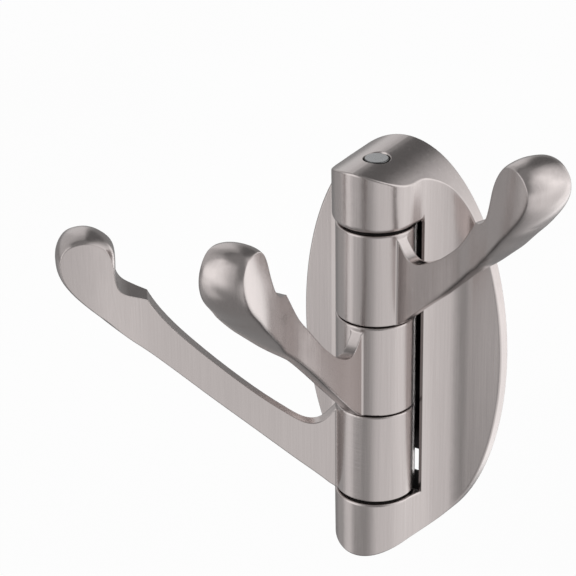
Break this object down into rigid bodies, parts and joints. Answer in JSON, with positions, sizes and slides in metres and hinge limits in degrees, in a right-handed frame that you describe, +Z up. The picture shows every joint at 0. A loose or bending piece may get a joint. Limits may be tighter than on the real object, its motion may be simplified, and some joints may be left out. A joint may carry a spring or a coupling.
{
  "type": "folding wall hook",
  "caption": "Oval wall plate carrying rounded-head swivel hooks of graduated reach on a vertical pin, with a concealed wall fixing.",
  "frame": {"origin": "centre of the oval plate's back face, on the wall", "axes": "+Z up along the wall, -Y straight out from the wall, +X to the right when facing the wall"},
  "size_m": [0.0987, 0.0709, 0.1011],
  "materials": {
    "satin_nickel": "satin nickel plate, brushed along the length",
    "pin_steel": "ground and nickel plated",
    "washer_nylon": "black nylon",
    "bracket_steel": "dark phosphated pressed steel, a guess, as it is hidden",
    "screw_steel": "black oxide"
  },
  "bodies": {
    "wall_plate": {"base": "satin_nickel", "pivot_pin": "pin_steel", "washer_1": "washer_nylon", "washer_2": "washer_nylon", "washer_3": "washer_nylon", "washer_4": "washer_nylon", "wall_bracket": "bracket_steel", "set_screw": "screw_steel"},
    "top_swivel": {"hook_top": "satin_nickel"},
    "middle_swivel": {"hook_middle": "satin_nickel"},
    "bottom_swivel": {"hook_bottom": "satin_nickel"}
  },
  "joints": [
    {"name": "swing_top", "type": "hinge", "parent": "wall_plate", "child": "top_swivel", "pos_m": [0, -0.0119, 0.02], "axis": [0, 0, 1], "range_deg": [-161, 19]},
    {"name": "swing_middle", "type": "hinge", "parent": "wall_plate", "child": "middle_swivel", "pos_m": [0, -0.0119, 0.0002], "axis": [0, 0, 1], "range_deg": [-94.7, 85.3]},
    {"name": "swing_bottom", "type": "hinge", "parent": "wall_plate", "child": "bottom_swivel", "pos_m": [0, -0.0119, -0.0196], "axis": [0, 0, 1], "range_deg": [-39, 141]}
  ]
}
